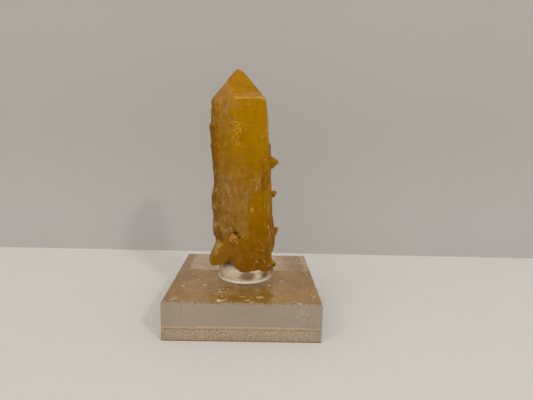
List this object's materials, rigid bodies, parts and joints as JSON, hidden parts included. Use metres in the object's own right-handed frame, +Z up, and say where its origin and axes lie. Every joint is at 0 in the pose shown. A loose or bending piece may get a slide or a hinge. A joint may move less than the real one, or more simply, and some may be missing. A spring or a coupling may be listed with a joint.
{
  "type": "mounted quartz point",
  "caption": "Golden iron-stained quartz point with small side crystals, standing in clear gel on a square clear acrylic display block with a brown paper backing.",
  "frame": {"origin": "centre of the underside of the backing paper, on the surface that the block stands on", "axes": "+Z up, along the crystal's length; -Y towards the viewer, square to the block's front face; +X to the viewer's right"},
  "size_m": [0.05, 0.05, 0.086],
  "materials": {
    "quartz": "translucent golden quartz, glossy faces with fine growth lines and frosted patches",
    "gel": "clear soft gel, glossy",
    "acrylic": "clear acrylic with a faint warm tint, polished, dusty top",
    "paper": "matt brown masking paper"
  },
  "bodies": {
    "root": {"quartz_crystal": "quartz", "mounting_gel": "gel", "acrylic_block": "acrylic", "backing_paper": "paper"}
  },
  "joints": []
}
